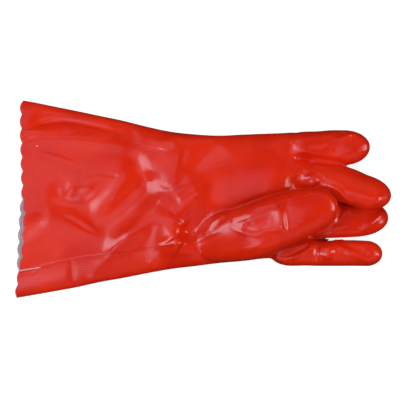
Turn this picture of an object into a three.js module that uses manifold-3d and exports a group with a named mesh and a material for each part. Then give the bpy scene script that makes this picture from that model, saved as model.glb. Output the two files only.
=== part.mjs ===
// A red PVC gauntlet glove for the right hand, dipped over a knitted cotton lining.
// It lies palm up: the flared gauntlet is nearly flat, the fingers lie side by side like
// roof tiles, and the thumb lies across the palm. +X runs from the mouth to the
// fingertips, +Y towards the little finger and +Z up. Lengths are in millimetres.
// Tables hold shares of the named sizes, a row for each section, fold or stretch of edge.

import * as THREE from 'three';
import { mergeVertices } from 'three/addons/utils/BufferGeometryUtils.js';
import Module from 'manifold-3d';

// Gauntlet and palm
const KNUCKLE_REACH = 273.5; // mouth to the webs between the fingers
const CUFF_WIDTH = 185.4; // across the mouth, laid flat
const PALM_WIDTH = 121; // across the wrist and palm, laid flat
const MOUTH_HEIGHT = 16;
const PALM_HEIGHT = 27;

// Walls
const COATING = 1.2; // the dipped skin
const LINING = 1.0; // the knitted cotton
const BOND_GAP = 0.3; // between the two
const LINING_REACH = 150; // how far up the gauntlet the lining is built

// The pinked edge of the mouth
const SCALLOP_PITCH = 13.2;
const SCALLOP_DEPTH = 1.9;

// Fingers and thumb, each from its start inside the palm to its tip
const LITTLE_LENGTH = 88;
const LITTLE_WIDTH = 32;
const LITTLE_THICKNESS = 23;
const RING_LENGTH = 104.5;
const RING_WIDTH = 33.5;
const RING_THICKNESS = 23;
const MIDDLE_LENGTH = 101.8;
const MIDDLE_WIDTH = 34.4;
const MIDDLE_THICKNESS = 22.6;
const INDEX_LENGTH = 112.5;
const INDEX_WIDTH = 23.8;
const INDEX_THICKNESS = 21;
const THUMB_LENGTH = 148.7;
const THUMB_WIDTH = 49.1;
const THUMB_THICKNESS = 23;

// How finely the faceted walls follow the shape
const TOP_STEPS = 20;
const UNDER_STEPS = 13;
const BODY_STATIONS = 29;
const DIGIT_SIDES = 14;
const ROOT_STATIONS = 3;
const DIGIT_STATIONS = 6;
const TIP_STATIONS = 5;
const EDGE_POINTS_PER_SCALLOP = 5;
const SEAM_TOLERANCE = 0.02;

// Section shape: side roundness, top roundness and how much of the underside lies flat
const SIDE_POWER = 2.6;
const TOP_POWER = 2.2;
const SIDE_LEVEL = 0.42; // height of the widest line, as a share of the section's height
const SINK = 0.3; // how far the underside would bulge below the floor if it weren't laid flat
const WEB_SLOPE = 0.38; // how steeply the underside rises towards the webs of the fingers
const DIGIT_POWER = 2.2;

// at: share of KNUCKLE_REACH. flare: 1 has the cuff's width and mouth height, 0 the palm's.
// centre: share of PALM_WIDTH. full: share of PALM_HEIGHT.
const BODY_SECTIONS = [
  { at: -0.03, flare: 1.06, centre: 0.006, full: 0.8 },
  { at: 0.047, flare: 0.957, centre: 0.008, full: 0.8 },
  { at: 0.128, flare: 0.827, centre: 0.006, full: 0.8 },
  { at: 0.21, flare: 0.693, centre: 0.004, full: 0.81 },
  { at: 0.291, flare: 0.543, centre: 0.005, full: 0.82 },
  { at: 0.373, flare: 0.408, centre: 0.002, full: 0.81 },
  { at: 0.455, flare: 0.25, centre: -0.003, full: 0.8 },
  { at: 0.536, flare: 0.115, centre: -0.006, full: 0.82 },
  { at: 0.618, flare: 0.035, centre: -0.005, full: 0.87 },
  { at: 0.7, flare: -0.028, centre: 0.002, full: 0.93 },
  { at: 0.781, flare: -0.042, centre: 0.014, full: 0.98 },
  { at: 0.863, flare: -0.07, centre: 0.028, full: 0.97 },
  { at: 0.917, flare: -0.05, centre: 0.028, full: 0.94 },
  { at: 0.958, flare: -0.055, centre: 0.033, full: 0.88 },
  { at: 0.99, flare: -0.12, centre: 0.033, full: 0.77 },
  { at: 1.012, flare: -0.24, centre: 0.034, full: 0.66 },
  { at: 1.026, flare: -0.4, centre: 0.034, full: 0.54 },
];

// Where the mouth is cut. side: share of the cuff's half width, -1 on the thumb's side.
// top and under: how far in the upper and the lower wall end, as shares of CUFF_WIDTH.
const MOUTH_EDGE = [
  { side: -1.0, top: 0.012, under: 0.0075 },
  { side: -0.91, top: 0.0135, under: 0.0065 },
  { side: -0.77, top: 0.0221, under: 0.0146 },
  { side: -0.66, top: 0.0336, under: 0.0161 },
  { side: -0.51, top: 0.0386, under: 0.0201 },
  { side: -0.36, top: 0.0426, under: 0.0256 },
  { side: -0.13, top: 0.0497, under: 0.0351 },
  { side: 0.09, top: 0.0421, under: 0.0421 },
  { side: 0.49, top: 0.0386, under: 0.0411 },
  { side: 0.94, top: 0.0346, under: 0.0366 },
  { side: 1.0, top: 0.0396, under: 0.0396 },
];

// Folds and dents of the upper wall, each along a line from one place to another. at: share
// of KNUCKLE_REACH. side: share of the half width there. depth: share of PALM_HEIGHT, minus
// for a hollow. spread: share of PALM_WIDTH.
const FOLDS = [
  { name: 'long fold', at: 0.09, side: 0.83, toAt: 0.4, toSide: 0.86, depth: -0.13, spread: 0.05 },
  { name: 'long fold ridge', at: 0.0, side: 0.66, toAt: 0.36, toSide: 0.72, depth: 0.08, spread: 0.05 },
  { name: 'mouth nick', at: 0.0, side: -0.34, toAt: 0.09, toSide: -0.24, depth: -0.14, spread: 0.05 },
  { name: 'gauntlet hollow', at: 0.16, side: -0.02, toAt: 0.24, toSide: -0.12, depth: -0.13, spread: 0.11 },
  { name: 'gauntlet slope', at: 0.3, side: -0.3, toAt: 0.42, toSide: 0.05, depth: -0.11, spread: 0.1 },
  { name: 'gauntlet ridge', at: 0.36, side: -0.55, toAt: 0.62, toSide: 0.1, depth: 0.1, spread: 0.08 },
  { name: 'wrist hollow', at: 0.47, side: 0.2, toAt: 0.62, toSide: 0.72, depth: -0.11, spread: 0.11 },
  { name: 'thumb root hollow', at: 0.59, side: -0.47, toAt: 0.64, toSide: -0.38, depth: -0.26, spread: 0.075 },
  { name: 'under the thumb', at: 0.74, side: -0.6, toAt: 0.98, toSide: -0.45, depth: -0.2, spread: 0.21 },
  { name: 'little web', at: 0.95, side: 0.63, toAt: 1.0, toSide: 0.63, depth: -0.2, spread: 0.05 },
  { name: 'ring web', at: 0.96, side: 0.17, toAt: 1.0, toSide: 0.17, depth: -0.2, spread: 0.05 },
];

// at, across: where the digit starts, as shares of KNUCKLE_REACH and PALM_WIDTH.
// heading: degrees from +X towards +Y. root, tip: lengths of its rounded ends, the first one
// inside the palm, as shares of its width. In the rows, along: share of the digit's length.
// aside: how far it bows towards +Y, and wide: shares of its width. rise: height of its
// middle, as a share of PALM_HEIGHT. thick: share of its thickness. roll: degrees, plus
// lifts its +Y side.
const DIGITS = [
  {
    name: 'little', length: LITTLE_LENGTH, width: LITTLE_WIDTH, thickness: LITTLE_THICKNESS,
    at: 0.89, across: 0.4, heading: -0.3, root: 0.9, tip: 0.76,
    rows: [
      { along: 0, aside: 0, rise: 0.4, wide: 0.7, thick: 0.8, roll: 0 },
      { along: 0.16, aside: 0.04, rise: 0.44, wide: 0.78, thick: 0.92, roll: 0 },
      { along: 0.285, aside: 0.068, rise: 0.46, wide: 0.81, thick: 0.97, roll: 0 },
      { along: 0.443, aside: 0.038, rise: 0.475, wide: 0.895, thick: 1, roll: 0 },
      { along: 0.6, aside: 0.03, rise: 0.5, wide: 0.98, thick: 1, roll: 0 },
      { along: 0.74, aside: 0.01, rise: 0.55, wide: 1.02, thick: 1, roll: 0 },
      { along: 1, aside: 0.04, rise: 0.648, wide: 1.02, thick: 0.957, roll: 0 },
    ],
  },
  {
    name: 'ring', length: RING_LENGTH, width: RING_WIDTH, thickness: RING_THICKNESS,
    at: 0.91, across: 0.227, heading: -15.1, root: 0.9, tip: 0.72,
    rows: [
      { along: 0, aside: 0, rise: 0.4, wide: 0.8, thick: 0.8, roll: 0 },
      { along: 0.256, aside: 0.03, rise: 0.519, wide: 0.87, thick: 0.95, roll: -6 },
      { along: 0.396, aside: 0.05, rise: 0.64, wide: 0.93, thick: 1, roll: -14 },
      { along: 0.583, aside: 0.06, rise: 0.79, wide: 1.03, thick: 0.983, roll: -22 },
      { along: 0.771, aside: 0.01, rise: 0.87, wide: 0.97, thick: 0.957, roll: -22 },
      { along: 1, aside: 0.05, rise: 0.93, wide: 0.96, thick: 0.939, roll: -18 },
    ],
  },
  {
    name: 'middle', length: MIDDLE_LENGTH, width: MIDDLE_WIDTH, thickness: MIDDLE_THICKNESS,
    at: 0.905, across: -0.066, heading: -4.1, root: 0.9, tip: 0.72,
    rows: [
      { along: 0, aside: 0, rise: 0.4, wide: 0.92, thick: 0.8, roll: 0 },
      { along: 0.218, aside: -0.04, rise: 0.45, wide: 1.08, thick: 0.93, roll: -6 },
      { along: 0.349, aside: -0.13, rise: 0.444, wide: 1.16, thick: 0.96, roll: -12 },
      { along: 0.505, aside: -0.165, rise: 0.42, wide: 1.12, thick: 0.95, roll: -18 },
      { along: 0.642, aside: -0.14, rise: 0.42, wide: 1.09, thick: 0.95, roll: -20 },
      { along: 0.805, aside: -0.09, rise: 0.43, wide: 1.0, thick: 0.94, roll: -20 },
      { along: 1, aside: -0.05, rise: 0.46, wide: 0.95, thick: 0.93, roll: -18 },
    ],
  },
  {
    name: 'index', length: INDEX_LENGTH, width: INDEX_WIDTH, thickness: INDEX_THICKNESS,
    at: 0.845, across: -0.345, heading: -3.9, root: 1.0, tip: 0.62,
    rows: [
      { along: 0, aside: 0, rise: 0.36, wide: 0.8, thick: 0.85, roll: 0 },
      { along: 0.11, aside: -0.08, rise: 0.4, wide: 1.08, thick: 0.95, roll: 0 },
      { along: 0.2, aside: -0.17, rise: 0.42, wide: 1.18, thick: 0.98, roll: 0 },
      { along: 0.33, aside: -0.15, rise: 0.42, wide: 1.17, thick: 0.98, roll: 0 },
      { along: 0.45, aside: -0.2, rise: 0.426, wide: 1.0, thick: 0.981, roll: 0 },
      { along: 0.64, aside: -0.135, rise: 0.444, wide: 1.01, thick: 1, roll: 0 },
      { along: 0.77, aside: -0.09, rise: 0.481, wide: 1.01, thick: 1, roll: 0 },
      { along: 1, aside: -0.05, rise: 0.53, wide: 0.98, thick: 0.981, roll: 0 },
    ],
  },
  {
    name: 'thumb', length: THUMB_LENGTH, width: THUMB_WIDTH, thickness: THUMB_THICKNESS,
    at: 0.574, across: -0.36, heading: 14.0, root: 0.7, tip: 0.48,
    rows: [
      { along: 0, aside: 0, rise: 0.36, wide: 0.56, thick: 0.7, roll: 0 },
      { along: 0.128, aside: -0.03, rise: 0.5, wide: 0.76, thick: 0.9, roll: 0 },
      { along: 0.238, aside: -0.03, rise: 0.78, wide: 0.9, thick: 1, roll: 4 },
      { along: 0.43, aside: -0.04, rise: 1.2, wide: 1.01, thick: 1, roll: 4 },
      { along: 0.593, aside: 0.016, rise: 1.352, wide: 1.005, thick: 1, roll: 2 },
      { along: 0.759, aside: 0.066, rise: 1.426, wide: 0.93, thick: 0.957, roll: 0 },
      { along: 0.873, aside: 0.076, rise: 1.426, wide: 0.84, thick: 0.913, roll: 0 },
      { along: 1, aside: 0.02, rise: 1.407, wide: 0.8, thick: 0.87, roll: 0 },
    ],
  },
];

const wasm = await Module();
wasm.setup();

// A table's row at any place along its first column, on smooth curves through its rows.
function rowAt(rows, column, where) {
  const last = rows.length - 1;
  const t = THREE.MathUtils.clamp(where, rows[0][column], rows[last][column]);
  let i = 0;
  while (i < last - 1 && t > rows[i + 1][column]) i += 1;
  const [a, b] = [rows[i], rows[i + 1]];
  const [before, after] = [rows[Math.max(i - 1, 0)], rows[Math.min(i + 2, last)]];
  const span = b[column] - a[column];
  const u = (t - a[column]) / span;
  const made = {};
  for (const key of Object.keys(a)) {
    if (typeof a[key] !== 'number') continue;
    const leave = ((b[key] - before[key]) / (b[column] - before[column])) * span;
    const arrive = ((after[key] - a[key]) / (after[column] - a[column])) * span;
    made[key] = (2 * u ** 3 - 3 * u ** 2 + 1) * a[key] + (u ** 3 - 2 * u ** 2 + u) * leave
      + (3 * u ** 2 - 2 * u ** 3) * b[key] + (u ** 3 - u ** 2) * arrive;
  }
  return made;
}

// The body's section at a distance from the mouth, in millimetres.
function bodySection(x) {
  const row = rowAt(BODY_SECTIONS, 'at', x / KNUCKLE_REACH);
  return {
    centre: row.centre * PALM_WIDTH,
    half: (PALM_WIDTH + row.flare * (CUFF_WIDTH - PALM_WIDTH)) / 2,
    height: row.flare * MOUTH_HEIGHT + (1 - row.flare) * PALM_HEIGHT * row.full,
  };
}

// How far the folds raise or lower the upper wall at a place seen from above.
function foldHeight(x, y) {
  let height = 0;
  for (const fold of FOLDS) {
    const [from, to] = [[fold.at, fold.side], [fold.toAt, fold.toSide]].map(([at, side]) => {
      const section = bodySection(at * KNUCKLE_REACH);
      return new THREE.Vector3(at * KNUCKLE_REACH, section.centre + side * section.half, 0);
    });
    const here = new THREE.Vector3(x, y, 0);
    const nearest = new THREE.Line3(from, to).closestPointToPoint(here, true, new THREE.Vector3());
    const away = nearest.distanceTo(here) / (fold.spread * PALM_WIDTH);
    height += fold.depth * PALM_HEIGHT * Math.exp(-away * away);
  }
  return height;
}

// One ring of the body's wall, inset from the outer face: over the top, then back underneath.
function bodyRing(x, inset) {
  const section = bodySection(x);
  const half = section.half - inset;
  const lift = WEB_SLOPE * Math.max(x - 0.97 * KNUCKLE_REACH, 0);
  const height = section.height - lift;
  const level = lift + height * SIDE_LEVEL;
  const crown = lift + height - level - inset;
  const sunk = height * (SIDE_LEVEL + SINK) - inset;
  const ring = [];
  const place = (share, under) => {
    const spread = Math.sign(share) * (1 - (1 - Math.abs(share)) ** 1.25);
    const y = section.centre - spread * half;
    const round = (1 - Math.abs(spread) ** SIDE_POWER) ** (1 / TOP_POWER);
    const above = level + crown * round + foldHeight(x, y) * round ** 2;
    const below = Math.max(level - sunk * round, lift + inset);
    ring.push(new THREE.Vector3(x, y, under ? below : above));
  };
  for (let i = 0; i <= TOP_STEPS; i += 1) place((2 * i) / TOP_STEPS - 1, false);
  for (let i = 1; i < UNDER_STEPS; i += 1) place(1 - (2 * i) / UNDER_STEPS, true);
  return ring;
}

// A closed solid through rings of the same number of points. Each end is a shallow cone that
// runs on by half the distance between its last two rings.
function loft(rings) {
  const sides = rings[0].length;
  const centre = (ring) => (
    ring.reduce((sum, p) => sum.add(p), new THREE.Vector3()).divideScalar(sides));
  const middles = [[rings[0], rings[1]], [rings.at(-1), rings.at(-2)]].map(([end, before]) => (
    centre(end).multiplyScalar(1.5).addScaledVector(centre(before), -0.5)));
  const points = [...rings.flat(), ...middles];
  const faces = [];
  for (let k = 0; k < rings.length - 1; k += 1) {
    for (let i = 0; i < sides; i += 1) {
      const j = (i + 1) % sides;
      const [a, b, c, d] = [k * sides + i, k * sides + j, (k + 1) * sides + j, (k + 1) * sides + i];
      faces.push(a, b, c, a, c, d);
    }
  }
  const lastRing = (rings.length - 1) * sides;
  for (let i = 0; i < sides; i += 1) {
    const j = (i + 1) % sides;
    faces.push(points.length - 2, j, i, points.length - 1, lastRing + i, lastRing + j);
  }
  return solidFrom(points.flatMap((p) => p.toArray()), faces);
}

// A manifold-3d solid from a closed mesh, turned face out.
function solidFrom(coordinates, faces) {
  const make = (triVerts) => new wasm.Manifold(new wasm.Mesh({
    numProp: 3, vertProperties: new Float32Array(coordinates), triVerts: new Uint32Array(triVerts),
  }));
  const made = make(faces);
  if (made.volume() > 0) return made;
  return make(faces.map((v, i) => (i % 3 === 0 ? v : faces[i % 3 === 1 ? i + 1 : i - 1])));
}

// The gauntlet and palm as a solid, inset from the outer face, from before the mouth to the
// station nearest to reach. Every wall shares the stations, so that none cuts into another.
const bodyStart = BODY_SECTIONS[0].at * KNUCKLE_REACH;
const bodyEnd = BODY_SECTIONS.at(-1).at * KNUCKLE_REACH;
const bodyStep = (bodyEnd - bodyStart) / BODY_STATIONS;

function bodySolid(inset, reach = bodyEnd) {
  const count = Math.round((reach - bodyStart) / bodyStep);
  const rings = [bodyRing(bodyStart - inset, inset)];
  for (let k = 1; k < count; k += 1) rings.push(bodyRing(bodyStart + bodyStep * k, inset));
  rings.push(bodyRing(bodyStart + bodyStep * count - (count === BODY_STATIONS ? inset : 0), inset));
  return loft(rings);
}

// A finger or thumb as a solid, inset from its outer face.
function digitSolid(digit, inset) {
  const start = new THREE.Vector3(digit.at * KNUCKLE_REACH, digit.across * PALM_WIDTH, 0);
  const turn = THREE.MathUtils.degToRad(digit.heading);
  const forward = new THREE.Vector3(Math.cos(turn), Math.sin(turn), 0);
  const left = new THREE.Vector3(-forward.y, forward.x, 0);
  const middleAt = (s) => {
    const row = rowAt(digit.rows, 'along', s / digit.length);
    return start.clone().addScaledVector(forward, s)
      .addScaledVector(left, row.aside * digit.width).setZ(row.rise * PALM_HEIGHT);
  };
  const [root, tip] = [digit.root * digit.width, digit.tip * digit.width];
  const straight = digit.length - root - tip;
  const stations = [];
  for (let k = ROOT_STATIONS; k > 0; k -= 1) {
    const angle = (0.5 * Math.PI * k) / (ROOT_STATIONS + 0.5);
    stations.push([root - (root - inset) * Math.sin(angle), Math.cos(angle)]);
  }
  for (let k = 0; k < DIGIT_STATIONS; k += 1) stations.push([root + (straight * k) / DIGIT_STATIONS, 1]);
  for (let k = 0; k <= TIP_STATIONS; k += 1) {
    const angle = (0.5 * Math.PI * k) / (TIP_STATIONS + 0.35);
    stations.push([root + straight + (tip - inset) * Math.sin(angle), Math.cos(angle)]);
  }
  const rings = stations.map(([s, round]) => {
    const row = rowAt(digit.rows, 'along', s / digit.length);
    const middle = middleAt(s);
    const ahead = middleAt(s + 1).sub(middleAt(s - 1)).setZ(0).normalize();
    const roll = THREE.MathUtils.degToRad(row.roll);
    const across = new THREE.Vector3(-ahead.y, ahead.x, 0).multiplyScalar(Math.cos(roll))
      .setZ(Math.sin(roll));
    const up = new THREE.Vector3().crossVectors(ahead, across);
    const half = (row.wide * digit.width) / 2 - inset;
    const thick = (row.thick * digit.thickness) / 2 - inset;
    const ring = [];
    for (let i = 0; i < DIGIT_SIDES; i += 1) {
      const angle = (2 * Math.PI * i) / DIGIT_SIDES;
      const bend = (v) => Math.sign(v) * Math.abs(v) ** (2 / DIGIT_POWER);
      const point = middle.clone()
        .addScaledVector(across, half * round * bend(Math.cos(angle)))
        .addScaledVector(up, thick * round * bend(Math.sin(angle)));
      ring.push(point.setZ(Math.max(point.z, inset)));
    }
    return ring;
  });
  return loft(rings);
}

// The whole hand, gauntlet and digits, as one solid inset from the outer face.
function gloveSolid(inset) {
  return DIGITS.reduce((whole, digit) => whole.add(digitSolid(digit, inset)), bodySolid(inset));
}

// What the pinking shears took off one wall of the mouth: everything outside its scalloped edge.
function mouthCutter(wall) {
  const [low, high] = [-1.06, 1.06].map((side) => (side * CUFF_WIDTH) / 2);
  const steps = Math.round(((high - low) / SCALLOP_PITCH) * EDGE_POINTS_PER_SCALLOP);
  const beyond = 0.12 * CUFF_WIDTH;
  const outline = new THREE.Shape().moveTo(-beyond, low);
  for (let i = 0; i <= steps; i += 1) {
    const y = low + ((high - low) * i) / steps;
    const line = rowAt(MOUTH_EDGE, 'side', y / (CUFF_WIDTH / 2))[wall] * CUFF_WIDTH;
    const wave = Math.abs(Math.sin((Math.PI * y) / SCALLOP_PITCH));
    outline.lineTo(line + SCALLOP_DEPTH * (0.5 - wave), y);
  }
  outline.lineTo(-beyond, high);
  const split = MOUTH_HEIGHT * SIDE_LEVEL;
  const depth = 3 * MOUTH_HEIGHT;
  const block = new THREE.ExtrudeGeometry(outline, { depth, bevelEnabled: false });
  block.translate(0, 0, wall === 'top' ? split : split - depth);
  block.deleteAttribute('normal');
  block.deleteAttribute('uv');
  const merged = mergeVertices(block);
  return solidFrom([...merged.attributes.position.array], [...merged.index.array]);
}

function trimMouth(solid) {
  return solid.subtract(mouthCutter('top')).subtract(mouthCutter('under'));
}

// The dipped skin: one hollow wall from the mouth to every fingertip.
function coating() {
  return trimMouth(gloveSolid(0).subtract(gloveSolid(COATING)));
}

// The cotton lining, built where it shows: from the mouth up the gauntlet.
function lining() {
  const outer = COATING + BOND_GAP;
  const outside = bodySolid(outer, LINING_REACH);
  const inside = bodySolid(outer + LINING, LINING_REACH + bodyStep);
  return trimMouth(outside.subtract(inside));
}

// A solid's geometry without the slivers that joins and cuts leave along their seams. Points
// closer than SEAM_TOLERANCE become one, and faces that this folds flat go. Then a face whose
// corner all but lies on its longest side gives that side up to its neighbour's corner.
function welded(solid) {
  const { vertProperties, triVerts } = solid.getMesh();
  const point = (i) => new THREE.Vector3().fromArray(vertProperties, 3 * i);
  const distance = (i, j) => point(i).distanceTo(point(j));
  const home = Array.from({ length: vertProperties.length / 3 }, (_, i) => i);
  const homeOf = (i) => (home[i] === i ? i : homeOf(home[i]));
  const corners = [];
  for (let t = 0; t < triVerts.length; t += 3) corners.push([...triVerts.subarray(t, t + 3)]);
  for (const [a, b, c] of corners) {
    for (const [from, to] of [[a, b], [b, c], [c, a]]) {
      if (distance(from, to) < SEAM_TOLERANCE) home[homeOf(from)] = homeOf(to);
    }
  }
  const kept = new Map();
  for (const face of corners.map((corner) => corner.map(homeOf))) {
    const key = [...face].sort().join();
    if (new Set(face).size < 3) continue;
    if (kept.has(key)) kept.delete(key);
    else kept.set(key, face);
  }
  const faces = [...kept.values()];
  const owner = new Map();
  const own = (i) => faces[i].forEach((from, k) => owner.set(`${from},${faces[i][(k + 1) % 3]}`, i));
  faces.forEach((_, i) => own(i));
  faces.forEach((face, i) => {
    const sides = face.map((from, k) => distance(from, face[(k + 1) % 3]));
    const longest = sides.indexOf(Math.max(...sides));
    const [a, b, c] = [0, 1, 2].map((k) => face[(longest + k) % 3]);
    const area = new THREE.Triangle(point(a), point(b), point(c)).getArea();
    if ((2 * area) / sides[longest] > SEAM_TOLERANCE / 5) return;
    const j = owner.get(`${b},${a}`);
    const d = faces[j].find((corner) => corner !== a && corner !== b);
    if (owner.has(`${c},${d}`) || owner.has(`${d},${c}`)) return;
    owner.delete(`${a},${b}`);
    owner.delete(`${b},${a}`);
    faces[i] = [a, d, c];
    faces[j] = [d, b, c];
    own(i);
    own(j);
  });
  const geometry = new THREE.BufferGeometry();
  geometry.setAttribute('position', new THREE.BufferAttribute(vertProperties, 3));
  geometry.setIndex(faces.flat());
  return geometry;
}

function named(name, solid, material) {
  const geometry = welded(solid);
  geometry.computeVertexNormals();
  const made = new THREE.Mesh(geometry, material);
  made.name = name;
  return made;
}

const redPvc = new THREE.MeshStandardMaterial({ color: 0xc9160c, roughness: 0.28, metalness: 0 });
const greyCotton = new THREE.MeshStandardMaterial({ color: 0xb9a5a3, roughness: 0.95, metalness: 0 });

const glove = new THREE.Group();
glove.add(named('pvc_coating', coating(), redPvc), named('cotton_lining', lining(), greyCotton));

// The origin is the middle of the glove's outline, on the surface it lies on.
const box = new THREE.Box3().setFromObject(glove);
const middle = box.getCenter(new THREE.Vector3());
glove.children.forEach((mesh) => mesh.position.set(-middle.x, -middle.y, -box.min.z));

export default glove;
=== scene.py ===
import math

import bmesh
import bpy
import numpy as np
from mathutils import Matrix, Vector
from mathutils.bvhtree import BVHTree


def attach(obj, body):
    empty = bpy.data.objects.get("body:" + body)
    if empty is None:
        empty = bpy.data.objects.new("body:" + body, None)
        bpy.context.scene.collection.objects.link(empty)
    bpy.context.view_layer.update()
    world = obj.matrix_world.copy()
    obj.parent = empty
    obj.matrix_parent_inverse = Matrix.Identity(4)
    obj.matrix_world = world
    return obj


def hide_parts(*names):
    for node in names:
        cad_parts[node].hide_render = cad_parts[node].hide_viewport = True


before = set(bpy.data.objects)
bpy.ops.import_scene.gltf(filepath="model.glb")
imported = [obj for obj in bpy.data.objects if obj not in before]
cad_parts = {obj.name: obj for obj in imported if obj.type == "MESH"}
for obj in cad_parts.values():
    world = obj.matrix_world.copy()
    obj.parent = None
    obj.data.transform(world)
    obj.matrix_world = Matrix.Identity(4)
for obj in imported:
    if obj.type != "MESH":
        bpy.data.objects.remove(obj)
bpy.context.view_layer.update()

# Sizes of the glove, in millimetres
KNUCKLE_REACH = 273.5
CUFF_WIDTH = 185.4
PALM_WIDTH = 121.0
MOUTH_HEIGHT = 16.0
PALM_HEIGHT = 27.0
COATING = 1.2
LINING = 1.0
BOND_GAP = 0.3
LINING_REACH = 150.0
SCALLOP_PITCH = 13.2
SCALLOP_DEPTH = 1.9
THREAD_RADIUS = 0.3
TO_MIDDLE = np.array([175.6, 0.41, 0.0])

# Millimetres in metres, and the other way round
MM = 0.001
PER_METRE = 1000

# Forms of the sections: powers of their curves and shares of their height and reach
SIDE_POWER = 2.6
TOP_POWER = 2.2
DIGIT_POWER = 2.2
EDGE_CROWDING = 1.25
SIDE_LEVEL = 0.42
SINK = 0.3
WEB_START = 0.97
WEB_SLOPE = 0.38

# What cuts the mouth: shares of the cuff's width, millimetres, and points to a scallop
CUTTER_SPAN = 1.06
CUTTER_REACH = 0.12
CUTTER_HEIGHT = 30
CUT_OVERLAP = 0.05
SCALLOP_POINTS = 14

# The skin's mesh: its grain in millimetres, the fewest points of a part that stays, the
# share of the points that its plain sides keep, and how far down those sides face
SKIN_GRAIN = 0.95
CRUMB = 200
PLAIN_SHARE = 0.55
PLAIN_TILT = -0.2

# How the creases are worked in. A row is fine under one width, and a row over the broad
# width grows, up to twice its height. A row fades at the ends of its course.
CREASE_SHARE = 0.8
FINE_WIDTH = 2.3
BROAD_WIDTH = 2.5
BROAD_SPAN = 4.0
END_FADE = 5
END_SHARE = 0.3

# The upper side of a piece, by how far up it faces
FACING_FROM = 0.1
FACING_SPAN = 0.5

# How far the inner pieces look for grooves to stay under, and their least share of the wall
HOLLOW_LOOK = 4.0
LINING_LOOK = 2.5
LEAST_SHARE = 0.8

# The evening of the heights: its share outside the soft zones, and their edge in steps
EVEN_SHARE = 0.12
SOFT_EDGE = 6

# The seam's groove and the lip beside it, in millimetres
SEAM_DEPTH = 0.22
SEAM_WIDTH = 0.8
LIP_HEIGHT = 0.08
LIP_OFFSET = 2.0
LIP_WIDTH = 1.2

# The stitch holes in metres, where they start along the seam in millimetres, and the height
# in metres from which places on the skin are found
STITCH_PITCH = 0.0015
HOLE_LENGTH = 0.0009
HOLE_WIDTH = 0.0006
HOLE_SINK = 0.00012
SEAM_START = 3.0
LOOK_DOWN_FROM = 0.2

# One step of the plan that the creases are laid out on, and the plan's middle, in steps
PLAN_STEP = 0.9303
PLAN_MIDDLE = (202.4, 199.15)

# at, flare, centre, full of each section from the mouth to the webs of the fingers
BODY_SECTIONS = [
    (-0.03, 1.06, 0.006, 0.8),
    (0.047, 0.957, 0.008, 0.8),
    (0.128, 0.827, 0.006, 0.8),
    (0.21, 0.693, 0.004, 0.81),
    (0.291, 0.543, 0.005, 0.82),
    (0.373, 0.408, 0.002, 0.81),
    (0.455, 0.25, -0.003, 0.83),
    (0.536, 0.115, -0.006, 0.88),
    (0.618, 0.035, -0.005, 0.905),
    (0.7, -0.028, 0.002, 0.92),
    (0.781, -0.042, 0.014, 0.95),
    (0.863, -0.07, 0.028, 0.97),
    (0.917, -0.05, 0.028, 0.94),
    (0.958, -0.055, 0.033, 0.88),
    (0.99, -0.12, 0.033, 0.77),
    (1.012, -0.24, 0.034, 0.66),
    (1.026, -0.4, 0.034, 0.54),
]

# side across the cuff, then how far in the upper and the lower wall end
MOUTH_EDGE = [
    (-1.0, 0.012, 0.0075),
    (-0.91, 0.0135, 0.0065),
    (-0.77, 0.0221, 0.0146),
    (-0.66, 0.0336, 0.0137),
    (-0.51, 0.0445, 0.0162),
    (-0.36, 0.0478, 0.0195),
    (-0.13, 0.0548, 0.0265),
    (0.09, 0.0445, 0.036),
    (0.49, 0.0386, 0.0411),
    (0.94, 0.0346, 0.0366),
    (1.0, 0.0396, 0.0396),
]

# at, side, to at, to side, depth and spread of each main fold
FOLDS = [
    (0.09, 0.83, 0.4, 0.86, -0.13, 0.05),
    (0.0, 0.66, 0.36, 0.72, 0.08, 0.05),
    (0.0, -0.34, 0.09, -0.24, -0.05, 0.05),
    (0.16, -0.02, 0.24, -0.12, -0.13, 0.11),
    (0.3, -0.3, 0.42, 0.05, -0.11, 0.1),
    (0.36, -0.55, 0.62, 0.1, 0.1, 0.08),
    (0.47, 0.2, 0.62, 0.72, -0.11, 0.11),
    (0.59, -0.47, 0.64, -0.38, -0.2, 0.09),
    (0.74, -0.6, 0.98, -0.45, -0.2, 0.21),
    (0.95, 0.63, 1.0, 0.63, -0.2, 0.05),
    (0.96, 0.17, 1.0, 0.17, -0.2, 0.05),
]

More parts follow.
